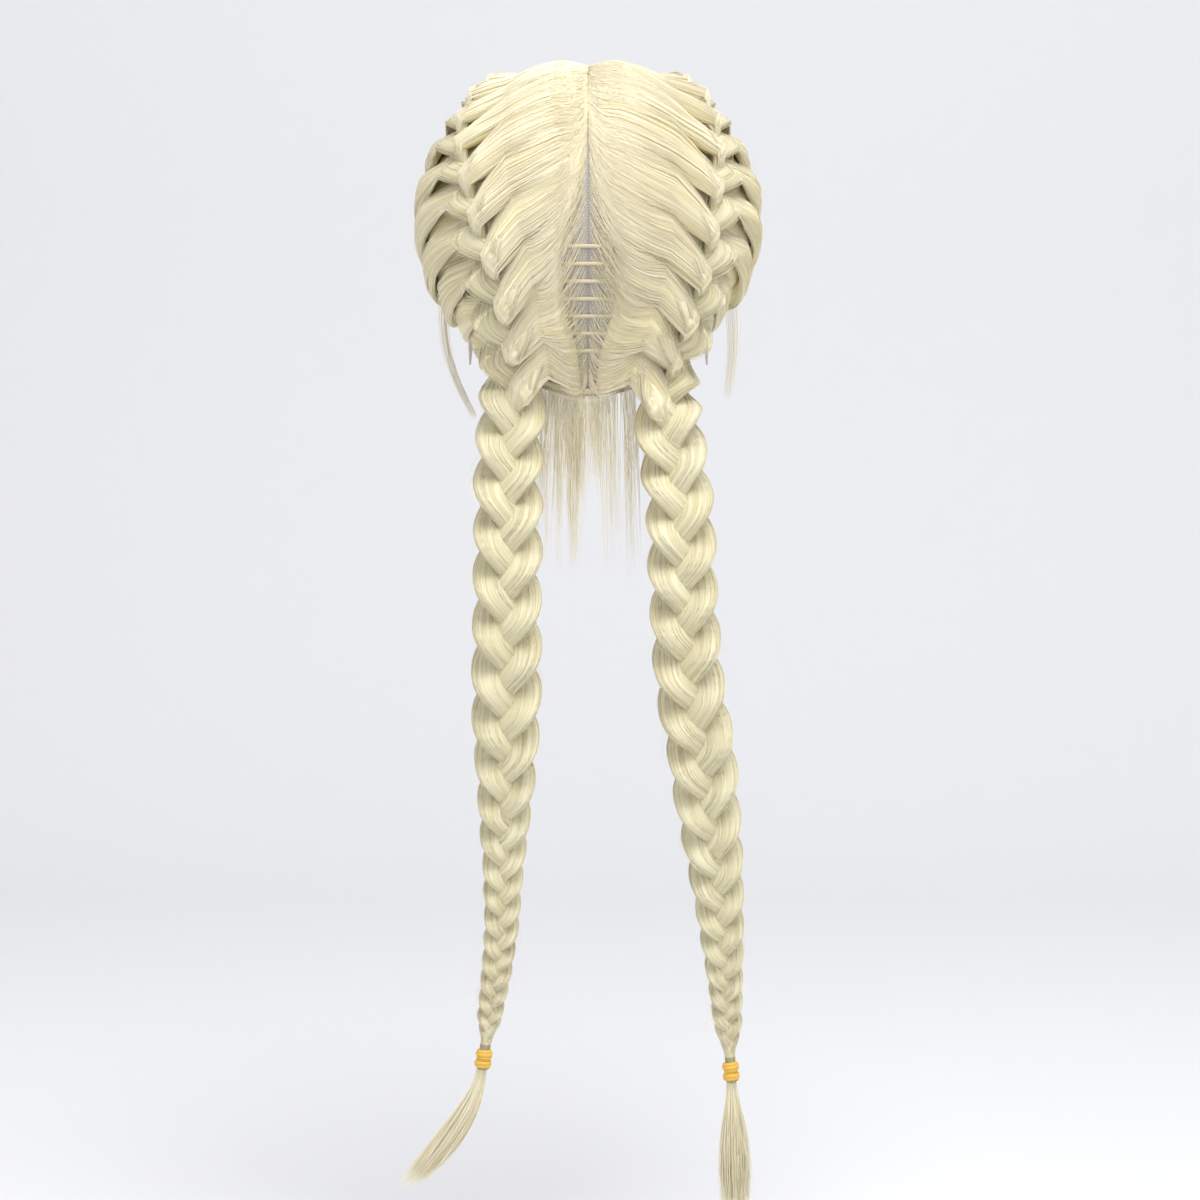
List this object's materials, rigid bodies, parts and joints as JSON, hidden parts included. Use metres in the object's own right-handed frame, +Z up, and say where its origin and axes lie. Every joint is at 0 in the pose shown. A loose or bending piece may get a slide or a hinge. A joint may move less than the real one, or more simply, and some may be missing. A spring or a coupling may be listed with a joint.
{
  "type": "pigtail wig",
  "caption": "Pale blonde lace front wig, parted in the centre and dressed as long hanging plaits closed with elastic ties.",
  "frame": {"origin": "crown of the cap, on its inside, where a head touches it", "axes": "+Z up, the back of the wig faces +Y, the wearer's left is +X"},
  "size_m": [0.2234, 0.1952, 0.7228],
  "materials": {
    "hair": "smooth pale blonde synthetic fibre with a soft sheen",
    "net": "greyish beige open net",
    "lace": "fine pinkish lace mesh",
    "weft": "sewn thread band",
    "elastic": "amber elastic, slightly glossy"
  },
  "bodies": {
    "root": {"wig_cap": "net", "lace_front": "lace", "weft_1": "weft", "weft_2": "weft", "weft_3": "weft", "weft_4": "weft", "weft_5": "weft", "weft_6": "weft", "weft_7": "weft", "nape_hair": "hair", "crown_hair_left": "hair", "side_hair_left": "hair", "braid_left": "hair", "tie_left": "elastic", "tail_left": "hair", "crown_hair_right": "hair", "side_hair_right": "hair", "braid_right": "hair", "tie_right": "elastic", "tail_right": "hair"}
  },
  "joints": []
}
